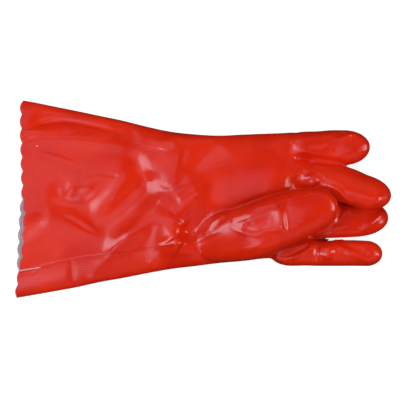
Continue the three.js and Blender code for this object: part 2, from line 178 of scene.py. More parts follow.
# length, width, thickness, at, across, heading, root, tip, then the rows of each digit:
# along, aside, rise, wide, thick, roll
DIGITS = {
    "little": (88, 32, 23, 0.89, 0.4, -0.3, 0.9, 0.76, [
        (0, 0, 0.4, 0.7, 0.8, 0),
        (0.16, 0.04, 0.44, 0.78, 0.92, 0),
        (0.285, 0.068, 0.46, 0.81, 0.97, 0),
        (0.443, 0.038, 0.475, 0.895, 1, 0),
        (0.6, 0.03, 0.5, 0.98, 1, 0),
        (0.74, 0.01, 0.55, 1.02, 1, 0),
        (1, 0.04, 0.648, 1.02, 0.957, 0),
    ]),
    "ring": (104.5, 33.5, 23, 0.91, 0.227, -15.1, 0.9, 0.72, [
        (0, 0, 0.4, 0.8, 0.8, 0),
        (0.256, 0.03, 0.519, 0.87, 0.95, -6),
        (0.396, 0.05, 0.64, 0.93, 1, -14),
        (0.583, 0.06, 0.79, 1.03, 0.983, -22),
        (0.771, 0.01, 0.87, 0.97, 0.957, -22),
        (1, 0.05, 0.93, 0.96, 0.939, -18),
    ]),
    "middle": (101.8, 34.4, 22.6, 0.905, -0.066, -4.1, 0.9, 0.72, [
        (0, 0, 0.4, 0.92, 0.8, 0),
        (0.218, -0.04, 0.45, 1.08, 0.93, -6),
        (0.349, -0.13, 0.444, 1.16, 0.96, -12),
        (0.505, -0.165, 0.42, 1.12, 0.95, -18),
        (0.642, -0.14, 0.42, 1.09, 0.95, -20),
        (0.805, -0.09, 0.43, 1.0, 0.94, -20),
        (1, -0.05, 0.46, 0.95, 0.93, -18),
    ]),
    "index": (112.5, 23.8, 21, 0.845, -0.345, -3.9, 1.0, 0.62, [
        (0, 0, 0.36, 0.8, 0.85, 0),
        (0.11, -0.08, 0.4, 1.08, 0.95, 0),
        (0.2, -0.17, 0.42, 1.18, 0.98, 0),
        (0.33, -0.15, 0.42, 1.17, 0.98, 0),
        (0.45, -0.2, 0.426, 1.0, 0.981, 0),
        (0.64, -0.135, 0.444, 1.01, 1, 0),
        (0.77, -0.09, 0.481, 1.01, 1, 0),
        (1, -0.05, 0.53, 0.98, 0.981, 0),
    ]),
    "thumb": (148.7, 49.1, 23, 0.574, -0.36, 14.0, 0.7, 0.48, [
        (0, 0, 0.36, 0.56, 0.7, 0),
        (0.128, -0.03, 0.5, 0.76, 0.9, 0),
        (0.238, -0.03, 0.78, 0.9, 1, 4),
        (0.43, -0.04, 1.2, 1.01, 1, 4),
        (0.593, 0.016, 1.352, 1.005, 1, 2),
        (0.759, 0.066, 1.426, 0.93, 0.957, 0),
        (0.873, 0.076, 1.426, 0.84, 0.913, 0),
        (1, 0.02, 1.407, 0.8, 0.87, 0),
    ]),
}

# Creases, dents and ridges of the dried skin on the palm side. Each has a height in
# millimetres, minus for a hollow, a half width to the left and to the right of its course,
# and its course on the plan.
CREASES = [
    # The long folds along the upper edge of the gauntlet
    (-1.5, 2.2, 2.2, [(24, 129), (40, 123.5), (52, 121.5), (64, 121), (80, 123), (98, 127),
                      (118, 131.5)]),
    (0.9, 3.0, 3.0, [(20, 134.5), (40, 131), (60, 127.5), (80, 129), (100, 132), (125, 137)]),
    (-0.8, 2.2, 2.2, [(20, 141), (40, 137.5), (60, 134), (74, 133)]),
    (0.7, 4.0, 4.0, [(52, 111), (80, 115), (105, 121), (130, 128)]),
    # Facets in the middle of the gauntlet
    (1.0, 5.0, 2.6, [(66, 199), (72, 190), (75, 182)]),
    (0.5, 3.2, 2.2, [(84, 194), (88, 186), (89, 178)]),
    (0.9, 6.0, 4.5, [(112, 202), (118, 190), (123, 180), (125, 168)]),
    (0.5, 2.6, 2.2, [(121, 176), (124, 168), (124, 160)]),
    (0.25, 1.2, 1.2, [(43, 153), (60, 158), (77, 164)]),
    (-0.3, 1.5, 1.5, [(82, 176), (100, 174), (122, 177)]),
    (-1.0, 8.0, 8.0, [(80, 204), (96, 196), (104, 186)]),
    # The folds at the lower half of the mouth
    (-0.25, 3.4, 3.4, [(20, 235), (32, 225), (40, 217), (50, 211)]),
    (0.4, 4.5, 3.0, [(22, 224), (30, 214), (38, 206)]),
    (0.5, 4.0, 4.0, [(28, 242), (42, 231), (55, 224)]),
    (-0.6, 1.4, 1.4, [(62, 216), (75, 222), (84, 228), (91, 232)]),
    (-1.0, 1.2, 1.4, [(17, 273), (24, 272.4), (30, 271.4), (36, 269.8)]),
    (-0.6, 0.9, 0.9, [(70.5, 262.5), (73.5, 264)]),
    (0.5, 2.2, 2.0, [(66, 211), (80, 219), (95, 230)]),
    (1.2, 6.5, 5.0, [(104, 260), (114, 248), (126, 237), (140, 226)]),
    (0.5, 3.0, 2.0, [(54, 263), (62, 255), (66, 248)]),
    (-0.5, 3.0, 3.0, [(72, 264), (72, 286)]),
    (0.5, 5.0, 3.0, [(90, 286), (97, 274)]),
    # The broad facets of the wrist
    (-1.4, 6.0, 6.0, [(131, 150), (138, 165), (143, 180), (150, 192)]),
    (2.4, 20.0, 9.0, [(160, 190), (168, 178), (176, 166), (180, 152), (179, 136), (172, 122)]),
    (0.5, 3.0, 2.4, [(152, 191), (158, 184), (160, 178)]),
    (-0.35, 1.0, 1.0, [(135, 145), (150, 148), (160, 150), (170, 152)]),
    (0.25, 1.2, 1.2, [(134, 142.5), (150, 145.5), (160, 147.5), (170, 149.5)]),
    (-0.9, 9.0, 26.0, [(186, 178), (198, 166), (212, 152), (225, 143)]),
    (0.9, 6.0, 8.0, [(120, 248), (136, 228), (148, 212), (160, 200), (172, 191)]),
    (0.9, 3.4, 5.0, [(168, 193), (178, 187.5), (190, 180), (200, 173)]),
    (0.4, 2.0, 2.0, [(155, 184), (163, 189), (172, 191)]),
    (-0.7, 8.0, 8.0, [(160, 218), (172, 208), (184, 202)]),
    # The hollow at the root of the thumb and the lips around it
    (3.0, 15.0, 5.0, [(186, 243.5), (181, 241), (177, 234), (179, 226), (184, 219)]),
    (-0.8, 6.0, 6.0, [(186, 236), (190, 232), (197, 229)]),
    (0.8, 1.4, 1.6, [(150, 248), (165, 245), (180, 243.6), (190, 243.4), (200, 239.4), (207, 236),
                     (215, 232.6), (228, 226.6)]),
    (0.8, 5.0, 3.4, [(158, 253.5), (180, 252), (199, 249)]),
    (0.4, 4.0, 2.0, [(152, 273), (153, 258)]),
    (0.4, 4.0, 2.0, [(169, 266), (171, 257)]),
    (0.7, 4.0, 4.0, [(206, 256), (225, 253), (250, 248), (275, 243)]),
    (2.6, 13.0, 6.0, [(183, 246), (179, 243), (175, 236)]),
    # The dark line where the thumb lies on the palm
    (-1.3, 1.7, 1.7, [(226, 211), (240, 205), (258, 198.5), (280, 192), (300, 188.5), (316, 188),
                      (330, 191)]),
    (-1.5, 1.8, 1.8, [(338, 203), (339.5, 212), (337, 222), (328, 231), (318, 237)]),
    # The thumb's upper lip and the hollow inside it
    (0.8, 1.6, 1.8, [(205, 233), (212, 223), (219, 215.5), (228, 213), (240, 209), (252, 206)]),
    (-1.0, 3.0, 3.0, [(211, 229), (219, 222), (226, 217)]),
    (0.7, 1.8, 1.6, [(228, 213), (229, 222), (231, 227)]),
    (0.4, 3.6, 2.6, [(238, 222), (242, 215), (244, 209)]),
    # The dent along the thumb, the ridge under it and the crease at its end
    (-1.1, 5.0, 5.0, [(240, 225), (250, 227), (262, 223), (270, 219)]),
    (1.0, 2.2, 2.2, [(231, 226), (238, 230.5), (246.5, 233.6), (256, 234.6), (262, 232.5),
                     (268, 229.5), (273, 229.3), (278, 231), (286, 231.5)]),
    (1.1, 7.0, 2.2, [(283.5, 233), (282, 222), (280, 212), (275, 205)]),
    (-1.1, 5.0, 1.2, [(284, 204), (285, 212), (286, 222), (287, 231)]),
    (0.4, 5.0, 3.0, [(300, 230), (303, 221)]),
    # The dented tip of the thumb
    (1.3, 8.0, 3.4, [(331, 217), (334, 207), (331, 199), (324, 193)]),
    # The little finger's groove, its tip and the pucker at its root
    (-1.9, 3.6, 4.0, [(328, 151), (338, 146), (346, 142), (358, 137)]),
    (1.4, 1.8, 1.8, [(334, 141), (344, 137), (354, 133.5)]),
    (0.8, 3.4, 2.2, [(365, 156), (367.5, 147), (364.5, 139.5), (357, 135)]),
    (1.7, 4.5, 1.7, [(291, 163), (294.5, 156.5), (300, 152.5), (309, 152)]),
    (-3.4, 2.2, 2.2, [(298, 159.5), (304, 157), (309, 158.5), (311, 163)]),
    (-2.4, 1.4, 1.4, [(309, 156), (318, 158.5), (330, 160), (344, 163)]),
    (1.2, 1.5, 1.5, [(311, 164), (317, 165.5), (327, 167)]),
    (0.5, 6.0, 3.0, [(279, 166), (281, 155)]),
    (0.4, 6.0, 4.0, [(272, 150), (272, 139)]),
    # The arch between the ring and middle fingers
    (0.9, 7.0, 2.0, [(311, 189), (312.5, 182), (309, 172)]),
    (1.0, 1.5, 1.5, [(305, 178.5), (312, 176), (317, 178.5), (321, 184)]),
    (-3.0, 1.8, 1.8, [(313, 188.5), (315, 186.5), (318, 185)]),
    # The ring finger's ridge and tip
    (1.5, 1.5, 1.5, [(325, 185), (330, 186.5), (337, 190), (342, 195.5), (347, 201), (353, 204.5)]),
    (1.0, 6.0, 4.0, [(374, 206), (377, 199), (376, 193)]),
    # The middle finger's facet, its shade and its ridge
    (1.5, 4.0, 2.0, [(345, 217), (348.5, 209), (347, 202)]),
    (-1.4, 2.5, 2.5, [(337, 227), (343, 220), (349, 213)]),
    (2.0, 1.7, 3.0, [(360, 232), (372, 221.5), (385, 210)]),
    (-1.2, 3.5, 3.5, [(352, 227), (364, 218), (376, 210)]),
    # The hairpin fold at the index finger's root, its crease and its ridge
    (1.8, 1.6, 1.6, [(287, 259), (296, 256.5), (303, 252.5), (309, 248), (312, 244.5)]),
    (1.1, 1.3, 1.3, [(284, 250.5), (294, 248.6), (301, 245.6), (308, 243)]),
    (-2.6, 2.4, 2.4, [(281, 257), (292, 252.6), (302, 249), (307, 246.5)]),
    (1.2, 1.2, 1.2, [(274, 258), (281, 260.5), (287, 264)]),
    (-1.2, 1.6, 1.6, [(276, 262), (284, 265)]),
    (-2.4, 2.0, 2.0, [(317.5, 243), (316.5, 252), (315, 263)]),
    (2.0, 6.0, 3.0, [(325, 261), (330, 251), (328, 242)]),
    (1.8, 1.8, 3.0, [(330, 242), (345, 248.5), (358, 256), (369, 263)]),
    (-1.8, 3.0, 3.0, [(338, 243.5), (350, 246.5), (366, 252)]),
    (-3.0, 1.3, 1.3, [(312, 237.5), (320, 238.5), (329, 238.9)]),
    (0.7, 4.0, 3.0, [(379, 259), (381, 252)]),
]

# The lining's seam, which shows through the skin from the mouth to the thumb's tip
SEAM = [(17, 272.5), (23, 271.8), (40, 267), (60, 262), (85, 257), (110, 254), (140, 250),
        (150, 247.2), (160, 246.4), (170, 245.8), (180, 245.2), (189, 243.8), (200.6, 239),
        (216, 232.4), (229.7, 226), (238, 223), (246.5, 220), (256.5, 215.4), (265, 210.8),
        (272.5, 206.6), (283, 202.8), (297.4, 199.2), (310.2, 197.2), (319.7, 196)]

# Where the skin's forms are softest: a place on the plan and how far it reaches, in steps
SOFT_ZONES = [(60, 160, 62), (120, 165, 52), (60, 215, 50), (110, 215, 45), (155, 165, 30),
              (160, 225, 16), (292, 147, 15), (292, 176, 14), (225, 165, 40), (262, 160, 30),
              (190, 145, 30), (215, 245, 14), (262, 219, 14), (300, 212, 14)]

# Two ends of white thread: one at the seam's open end and a fleck near the mouth
THREAD_ENDS = [
    [(20.5, 270.6), (24, 270), (28, 269.4), (32, 268.6), (36, 268.2), (39.5, 267.6)],
    [(36.4, 146.5), (36.9, 145.9), (37.5, 145.7), (38, 146.1)],
]


def rows_at(rows, where):
    """The rows' values at places along their first column, on smooth curves through them."""
    rows = np.asarray(rows, float)
    key = rows[:, 0]
    t = np.clip(np.atleast_1d(where), key[0], key[-1])
    i = np.clip(np.searchsorted(key, t) - 1, 0, len(key) - 2)
    before, after = rows[np.maximum(i - 1, 0)], rows[np.minimum(i + 2, len(key) - 1)]
    a, b = rows[i], rows[i + 1]
    span = (b - a)[:, :1]
    u = (t - a[:, 0])[:, None] / span
    leave = (b - before) / (b - before)[:, :1] * span
    arrive = (after - a) / (after - a)[:, :1] * span
    return ((2 * u**3 - 3 * u**2 + 1) * a + (u**3 - 2 * u**2 + u) * leave
            + (3 * u**2 - 2 * u**3) * b + (u**3 - u**2) * arrive)


def body_section(x):
    """Middle, half width and height of the body at distances from the mouth."""
    _, flare, centre, full = rows_at(BODY_SECTIONS, x / KNUCKLE_REACH).T
    half = (PALM_WIDTH + flare * (CUFF_WIDTH - PALM_WIDTH)) / 2
    height = flare * MOUTH_HEIGHT + (1 - flare) * PALM_HEIGHT * full
    return centre * PALM_WIDTH, half, height


def off_line(x, y, start, end):
    """Distance from places to a straight line, and how far along it they lie."""
    along = np.subtract(end, start)
    share = ((x - start[0]) * along[0] + (y - start[1]) * along[1]) / max(along @ along, 1e-9)
    share = np.clip(share, 0, 1)
    return np.hypot(x - start[0] - share * along[0], y - start[1] - share * along[1]), share


def fold_height(x, y):
    """How far the main folds raise or lower the upper wall."""
    height = np.zeros(np.broadcast(x, y).shape)
    for at, side, to_at, to_side, depth, spread in FOLDS:
        ends = []
        for share, across in ((at, side), (to_at, to_side)):
            centre, half, _ = body_section(np.array([share * KNUCKLE_REACH]))
            ends.append((share * KNUCKLE_REACH, centre[0] + across * half[0]))
        away = off_line(x, y, *ends)[0] / (spread * PALM_WIDTH)
        height += depth * PALM_HEIGHT * np.exp(-away * away)
    return height


def body_rings(stations, inset, top_steps, under_steps):
    """Rings of the gauntlet and palm, over the top and back underneath."""
    x = np.asarray(stations, float)
    centre, half, height = body_section(x)
    lift = WEB_SLOPE * np.maximum(x - WEB_START * KNUCKLE_REACH, 0)
    height = height - lift
    level = lift + height * SIDE_LEVEL
    crown = lift + height - level - inset
    sunk = height * (SIDE_LEVEL + SINK) - inset
    over = np.linspace(-1, 1, top_steps + 1)
    back = np.linspace(1, -1, under_steps + 1)[1:-1]
    share = np.concatenate([over, back])
    under = np.arange(len(share)) > top_steps
    spread = np.sign(share) * (1 - (1 - np.abs(share)) ** EDGE_CROWDING)
    rounding = np.maximum(1 - np.abs(spread) ** SIDE_POWER, 0) ** (1 / TOP_POWER)
    y = centre[:, None] - spread[None] * (half - inset)[:, None]
    xs = np.repeat(x[:, None], len(share), 1)
    above = level[:, None] + crown[:, None] * rounding + fold_height(xs, y) * rounding**2
    below = np.maximum(level[:, None] - sunk[:, None] * rounding, (lift + inset)[:, None])
    return np.stack([xs, y, np.where(under[None], below, above)], 2)


def digit_rings(digit, inset, sides, stations):
    """Rings of a finger or the thumb, from its rounded root in the palm to its tip."""
    length, width, thickness, at, across, heading, root, tip, rows = digit
    start = np.array([at * KNUCKLE_REACH, across * PALM_WIDTH, 0.0])
    turn = math.radians(heading)
    forward = np.array([math.cos(turn), math.sin(turn), 0.0])
    left = np.array([-forward[1], forward[0], 0.0])

    def middle(s):
        _, aside, rise, _, _, _ = rows_at(rows, s / length).T
        spine = start + s[:, None] * forward + (aside * width)[:, None] * left
        spine[:, 2] = rise * PALM_HEIGHT
        return spine

    root, tip = root * width, tip * width
    straight = length - root - tip
    ends = max(stations // 4, 4)
    near = 0.5 * math.pi * np.arange(ends, 0, -1) / (ends + 0.4)
    far = 0.5 * math.pi * np.arange(0, ends * 2 + 1) / (ends * 2 + 0.3)
    between = root + straight * np.arange(stations) / stations
    s = np.concatenate([root - (root - inset) * np.sin(near), between,
                        root + straight + (tip - inset) * np.sin(far)])
    rounding = np.concatenate([np.cos(near), np.ones(stations), np.cos(far)])
    _, _, _, wide, thick, roll = rows_at(rows, s / length).T
    ahead = middle(s + 1) - middle(s - 1)
    ahead[:, 2] = 0
    ahead /= np.linalg.norm(ahead, axis=1)[:, None]
    roll = np.radians(roll)
    over = np.stack([-ahead[:, 1] * np.cos(roll), ahead[:, 0] * np.cos(roll), np.sin(roll)], 1)
    up = np.cross(ahead, over)
    angle = 2 * np.pi * np.arange(sides) / sides

    def bend(v):
        return np.sign(v) * np.abs(v) ** (2 / DIGIT_POWER)

    wide = (wide * width / 2 - inset) * rounding
    thick = (thick * thickness / 2 - inset) * rounding
    rings = (middle(s)[:, None]
             + (wide[:, None] * bend(np.cos(angle)))[:, :, None] * over[:, None]
             + (thick[:, None] * bend(np.sin(angle)))[:, :, None] * up[:, None])
    rings[:, :, 2] = np.maximum(rings[:, :, 2], inset)
    return rings


def placed(name, data):
    """A new object of some data, in the scene."""
    made = bpy.data.objects.new(name, data)
    bpy.context.scene.collection.objects.link(made)
    return made


def closed_mesh(name, shells):
    """One object of closed lofts, in metres in the row frame, turned face out."""
    points, faces = [], []
    count = 0
    for rings in shells:
        layers, sides, _ = rings.shape
        ends = [rings[a].mean(0) * 1.5 - rings[b].mean(0) * 0.5 for a, b in ((0, 1), (-1, -2))]
        points.append(np.concatenate([rings.reshape(-1, 3), ends]))
        for k in range(layers - 1):
            for i in range(sides):
                j = (i + 1) % sides
                a, b = count + k * sides, count + (k + 1) * sides
                faces.append((a + i, a + j, b + j, b + i))
        last = count + (layers - 1) * sides
        tail = count + layers * sides
        for i in range(sides):
            j = (i + 1) % sides
            faces.append((tail, count + j, count + i))
            faces.append((tail + 1, last + i, last + j))
        count = tail + 2
    mesh = bpy.data.meshes.new(name)
    mesh.from_pydata(((np.concatenate(points) - TO_MIDDLE) * MM).tolist(), [], faces)
    turn_out(mesh)
    return placed(name, mesh)


def turn_out(mesh):
    """Turns every closed part of a mesh face out."""
    work = bmesh.new()
    work.from_mesh(mesh)
    bmesh.ops.recalc_face_normals(work, faces=work.faces)
    work.to_mesh(mesh)
    work.free()


def settle(piece):
    """Applies the modifiers of a piece and leaves a plain mesh."""
    bpy.context.view_layer.update()
    evaluated = piece.evaluated_get(bpy.context.evaluated_depsgraph_get())
    mesh = bpy.data.meshes.new_from_object(evaluated)
    piece.modifiers.clear()
    piece.data = mesh
    return piece


def joined(piece, other, operation):
    """Joins another closed piece to this one, or cuts it away, and drops the other."""
    step = piece.modifiers.new("join", "BOOLEAN")
    step.operation, step.solver, step.object = operation, "MANIFOLD", other
    settle(piece)
    bpy.data.objects.remove(other)
    return piece


def coordinates(mesh):
    """The places of a mesh's points."""
    co = np.empty(len(mesh.vertices) * 3, np.float32)
    mesh.vertices.foreach_get("co", co)
    return co.reshape(-1, 3).astype(float)


def set_coordinates(mesh, co):
    """Moves a mesh's points to new places."""
    mesh.vertices.foreach_set("co", co.astype(np.float32).ravel())
    mesh.update()


def normals(mesh):
    """Which way a mesh faces at each of its points."""
    out = np.empty(len(mesh.vertices) * 3, np.float32)
    mesh.vertex_normals.foreach_get("vector", out)
    return out.reshape(-1, 3).astype(float)


def edge_ends(mesh):
    """The first and the second point of every edge."""
    edges = np.empty(len(mesh.edges) * 2, np.int32)
    mesh.edges.foreach_get("vertices", edges)
    return edges.reshape(-1, 2).T


def surface_of(mesh):
    """A mesh as a surface on which places are found."""
    return BVHTree.FromPolygons([v.co for v in mesh.vertices],
                                [p.vertices for p in mesh.polygons])


def seen_from_above(surface, x, y):
    """The place on a surface over or under a spot in millimetres, or None beside it."""
    start = Vector((x * MM, y * MM, LOOK_DOWN_FROM))
    return surface.ray_cast(start, Vector((0, 0, -1)))[0]


def relaxed(mesh, rounds, strength=0.5):
    """Evens a mesh out by moving each point towards its neighbours."""
    a, b = edge_ends(mesh)
    co = coordinates(mesh)
    valence = np.bincount(np.concatenate([a, b]), minlength=len(co)).astype(float)[:, None]
    for _ in range(rounds):
        total = np.zeros_like(co)
        for axis in range(3):
            total[:, axis] = (np.bincount(a, co[b, axis], len(co))
                              + np.bincount(b, co[a, axis], len(co)))
        co += strength * (total / valence - co)
    set_coordinates(mesh, co)


def plan(points):
    """Places on the plan as millimetres in the row frame."""
    p = np.asarray(points, float)
    return np.stack([(p[:, 0] - PLAN_MIDDLE[0]), (PLAN_MIDDLE[1] - p[:, 1])], 1) * PLAN_STEP


def off_course(x, y, course):
    """Distance to a course on the plan, which side of it a place is on, and how far along."""
    points = plan(course)
    best = np.full(x.shape, 1e9)
    side = np.zeros(x.shape)
    along = np.zeros(x.shape)
    lengths = np.hypot(*np.diff(points, axis=0).T)
    run = np.concatenate([[0], np.cumsum(lengths)])
    for k, (start, end) in enumerate(zip(points[:-1], points[1:])):
        away, share = off_line(x, y, start, end)
        nearer = away < best
        turn = (end[0] - start[0]) * (y - start[1]) - (end[1] - start[1]) * (x - start[0])
        best = np.where(nearer, away, best)
        side = np.where(nearer, np.sign(turn), side)
        along = np.where(nearer, (run[k] + share * lengths[k]) / run[-1], along)
    return best, side, along


def relief(x, y, fine=None):
    """Height of the creases, dents and ridges at places in the row frame, in millimetres:
    all of them, or only the fine or the broad ones."""
    height = np.zeros(x.shape)
    for depth, left, right, course in CREASES:
        if fine is not None and (max(left, right) < FINE_WIDTH) != fine:
            continue
        away, side, along = off_course(x, y, course)
        width = np.where(side > 0, left, right)
        fade = np.clip(np.minimum(along, 1 - along) * END_FADE, END_SHARE, 1)
        share = CREASE_SHARE * (1 + np.clip((max(left, right) - BROAD_WIDTH) / BROAD_SPAN, 0, 1))
        height += share * depth * fade * np.exp(-((away / width) ** 2))
    if fine is False:
        return height
    away, side, _ = off_course(x, y, SEAM)
    height -= SEAM_DEPTH * np.exp(-((away / SEAM_WIDTH) ** 2))
    height += LIP_HEIGHT * np.exp(-(((away * side - LIP_OFFSET) / LIP_WIDTH) ** 2))
    return height


def creased(piece, reach=0.0, fine=None):
    """Gives the upper side of a closed piece its creases. A piece inside another takes the
    lowest height within its reach, so that it stays under every groove."""
    co = coordinates(piece.data)
    weight = np.clip((normals(piece.data)[:, 2] - FACING_FROM) / FACING_SPAN, 0, 1)
    weight = weight * weight * (3 - 2 * weight)
    x, y = co[:, 0] * PER_METRE, co[:, 1] * PER_METRE
    height = relief(x, y, fine)
    if reach:
        for ring in (0.5 * reach, reach):
            for turn in np.arange(8) * math.pi / 4:
                height = np.minimum(height, relief(x + ring * math.cos(turn),
                                                   y + ring * math.sin(turn)))
    co[:, 2] += MM * height * weight
    set_coordinates(piece.data, co)
    return piece


def softened(mesh, rounds):
    """Evens the heights of the skin's broad forms, most of all in the soft zones."""
    a, b = edge_ends(mesh)
    co = coordinates(mesh)
    share = np.full(len(co), EVEN_SHARE)
    for x, y, radius in SOFT_ZONES:
        middle = plan([(x, y)])[0] * MM
        away = np.hypot(co[:, 0] - middle[0], co[:, 1] - middle[1]) * PER_METRE / PLAN_STEP
        share = np.maximum(share, np.clip((radius - away) / SOFT_EDGE, 0, 1))
    share *= 0.5 * np.clip(normals(mesh)[:, 2] * 2, 0, 1)
    valence = np.bincount(np.concatenate([a, b]), minlength=len(co))
    for _ in range(rounds):
        total = np.bincount(a, co[b, 2], len(co)) + np.bincount(b, co[a, 2], len(co))
        co[:, 2] += share * (total / valence - co[:, 2])
    set_coordinates(mesh, co)


def kept_inside(piece, skin, gap):
    """Moves points of a piece that lie less than a gap inside the skin further in."""
    outside = surface_of(skin)
    gap *= MM
    for vertex in piece.data.vertices:
        spot, normal, _, away = outside.find_nearest(vertex.co, gap * 3)
        if spot is not None and (spot - vertex.co).dot(normal) < gap:
            vertex.co = spot - normal * gap
    piece.data.update()
    return piece


def glove_shells(inset, step, top_steps, under_steps, sides, stations):
    """The lofts of the whole hand, inset from the outer face."""
    start = BODY_SECTIONS[0][0] * KNUCKLE_REACH - inset
    end = BODY_SECTIONS[-1][0] * KNUCKLE_REACH - inset
    x = np.linspace(start, end, int(round((end - start) / step)) + 1)
    return ([body_rings(x, inset, top_steps, under_steps)]
            + [digit_rings(digit, inset, sides, stations) for digit in DIGITS.values()])


def mouth_cutter(wall):
    """What lies outside the scalloped edge of one wall of the mouth."""
    high = CUTTER_SPAN * CUFF_WIDTH / 2
    low = -high
    steps = int(round((high - low) / SCALLOP_PITCH * SCALLOP_POINTS))
    y = np.linspace(low, high, steps + 1)
    line = rows_at(MOUTH_EDGE, y / (CUFF_WIDTH / 2))[:, 1 if wall == "top" else 2] * CUFF_WIDTH
    edge = line + SCALLOP_DEPTH * (0.5 - np.abs(np.sin(np.pi * y / SCALLOP_PITCH)))
    split = MOUTH_HEIGHT * SIDE_LEVEL
    if wall == "top":
        heights = split - CUT_OVERLAP, split + CUTTER_HEIGHT
    else:
        heights = split - CUTTER_HEIGHT, split + CUT_OVERLAP
    outer = np.full(len(y), -CUTTER_REACH * CUFF_WIDTH)
    rings = [np.stack([x, y, np.full(len(y), z)], 1) for z in heights for x in (outer, edge)]
    low_out, low_in, high_out, high_in = (np.arange(len(y)) + k * len(y) for k in range(4))
    faces = []
    for i in range(len(y) - 1):
        for a, b in ((low_out, low_in), (low_in, high_in), (high_in, high_out),
                     (high_out, low_out)):
            faces.append((a[i], b[i], b[i + 1], a[i + 1]))
    for i in (0, len(y) - 1):
        faces.append((low_out[i], high_out[i], high_in[i], low_in[i]))
    mesh = bpy.data.meshes.new("mouth_cutter")
    mesh.from_pydata(((np.concatenate(rings) - TO_MIDDLE) * MM).tolist(), [], faces)
    turn_out(mesh)
    return placed("mouth_cutter", mesh)


def trimmed(piece):
    """Cuts the scalloped mouth and drops the crumbs that the cuts leave."""
    for wall in ("top", "under"):
        joined(piece, mouth_cutter(wall), "DIFFERENCE")
    work = bmesh.new()
    work.from_mesh(piece.data)
    work.verts.ensure_lookup_table()
    seen = set()
    for first in work.verts:
        if first in seen:
            continue
        island, front = {first}, [first]
        while front:
            vertex = front.pop()
            for edge in vertex.link_edges:
                other = edge.other_vert(vertex)
                if other not in island:
                    island.add(other)
                    front.append(other)
        seen |= island
        if len(island) < CRUMB:
            bmesh.ops.delete(work, geom=list(island), context="VERTS")
    work.to_mesh(piece.data)
    work.free()
    return piece


def finger_gap():
    """The narrow space between the middle and the index finger, which stays open."""
    middle = plan([(327, 238.7), (332, 238.8), (342, 238.5), (354, 238.0), (366, 237.2)])
    half = np.array([0.3, 0.8, 0.85, 0.9, 0.9])
    rings = []
    for (x, y), w in zip(middle, half):
        rings.append([(x, y - w, -5), (x, y + w, -5), (x, y + w, 32), (x, y - w, 32)])
    return closed_mesh("finger_gap", [np.array(rings) + TO_MIDDLE])


def finger_web():
    """The low web of skin between the roots of the middle and the index finger."""
    middle = plan([(304, 237), (312, 237.8), (320, 238.5), (328, 238.7)])
    rings = [[(x, y - w, 1.5), (x, y + w, 1.5), (x, y + w, z), (x, y - w, z)]
             for (x, y), w, z in zip(middle, (3.5, 3.5, 3.2, 2.6), (11, 10, 8, 5))]
    return np.array(rings) + TO_MIDDLE


def dipped_skin():
    """The red coating: a hollow wall from the scalloped mouth to every fingertip."""
    shells = glove_shells(inset=0, step=1.5, top_steps=120, under_steps=70, sides=72, stations=40)
    skin = closed_mesh("dipped_skin", shells + [finger_web()])
    even = skin.modifiers.new("even", "REMESH")
    even.mode, even.voxel_size, even.adaptivity = "VOXEL", SKIN_GRAIN * MM, 0
    settle(skin)
    relaxed(skin.data, 5)
    joined(skin, finger_gap(), "DIFFERENCE")
    creased(skin, fine=False)
    softened(skin.data, 40)
    creased(skin, fine=True)
    relaxed(skin.data, 2)
    hollow = None
    for shell in glove_shells(inset=COATING, step=5, top_steps=36, under_steps=24, sides=26,
                              stations=16):
        part = closed_mesh("hollow", [shell])
        hollow = part if hollow is None else joined(hollow, part, "UNION")
    outer_face = skin.data.copy()
    kept_inside(creased(hollow, HOLLOW_LOOK), outer_face, COATING * LEAST_SHARE)
    joined(skin, hollow, "DIFFERENCE")
    return thinned(trimmed(skin)), outer_face


def thinned(piece):
    """Spares points on the back of the hand and inside, which are smooth."""
    plain = normals(piece.data)[:, 2] < PLAIN_TILT
    group = piece.vertex_groups.new(name="plain")
    group.add(np.nonzero(plain)[0].tolist(), 1.0, "REPLACE")
    fewer = piece.modifiers.new("fewer", "DECIMATE")
    fewer.vertex_group, fewer.ratio = "plain", PLAIN_SHARE
    settle(piece)
    piece.vertex_groups.clear()
    return piece


def knitted_lining(outer_face):
    """The cotton lining inside the gauntlet, a thin tube that ends in the wrist."""
    outer = COATING + BOND_GAP
    start = BODY_SECTIONS[0][0] * KNUCKLE_REACH
    x = np.arange(start, LINING_REACH, 2.5)
    lining = closed_mesh("knitted_lining", [body_rings(x, outer, 90, 70)])
    inside = closed_mesh("inside", [body_rings(np.append(x - 1.5, LINING_REACH + 12),
                                               outer + LINING, 90, 70)])
    kept_inside(creased(lining, LINING_LOOK), outer_face, outer)
    kept_inside(creased(inside, LINING_LOOK), outer_face, outer + LINING * LEAST_SHARE)
    joined(lining, inside, "DIFFERENCE")
    return trimmed(lining)


# Finishes, with their colours
DEEP_RED, BRIGHT_RED = (0.68, 0.015, 0.0025, 1), (0.76, 0.022, 0.0035, 1)
MOTTLE_RED = (0.55, 0.01, 0.004, 1)
# The stitch holes' two dark reds are painted shade inside the holes, mixed at random by a grain
PAINTED_HOLE_SHADE_DEEP, PAINTED_HOLE_SHADE_PALE = (0.14, 0.003, 0.002, 1), (0.28, 0.006, 0.003, 1)
LOOP_SHADE, LOOP_LIGHT = (0.42, 0.25, 0.25, 1), (0.74, 0.54, 0.53, 1)
FUZZ_PINK = (0.82, 0.68, 0.67, 1)
THREAD_SHADE, THREAD_LIGHT = (0.78, 0.62, 0.6, 1), (0.93, 0.88, 0.86, 1)
FLOOR_PALE, FLOOR_GLOW = (0.4, 0.4, 0.4, 1), (1, 1, 1, 1)


class Strand:
    """One value or colour in a finish. Sums and products of strands add their nodes."""

    def __init__(self, finish, socket):
        self.finish, self.socket = finish, socket

    def maths(self, operation, first, second):
        return self.finish.add("ShaderNodeMath", {"operation": operation}, {0: first, 1: second})

    def __add__(self, other):
        return self.maths("ADD", self, other)

    def __radd__(self, other):
        return self.maths("ADD", other, self)

    def __sub__(self, other):
        return self.maths("SUBTRACT", self, other)

    def __mul__(self, other):
        return self.maths("MULTIPLY", self, other)


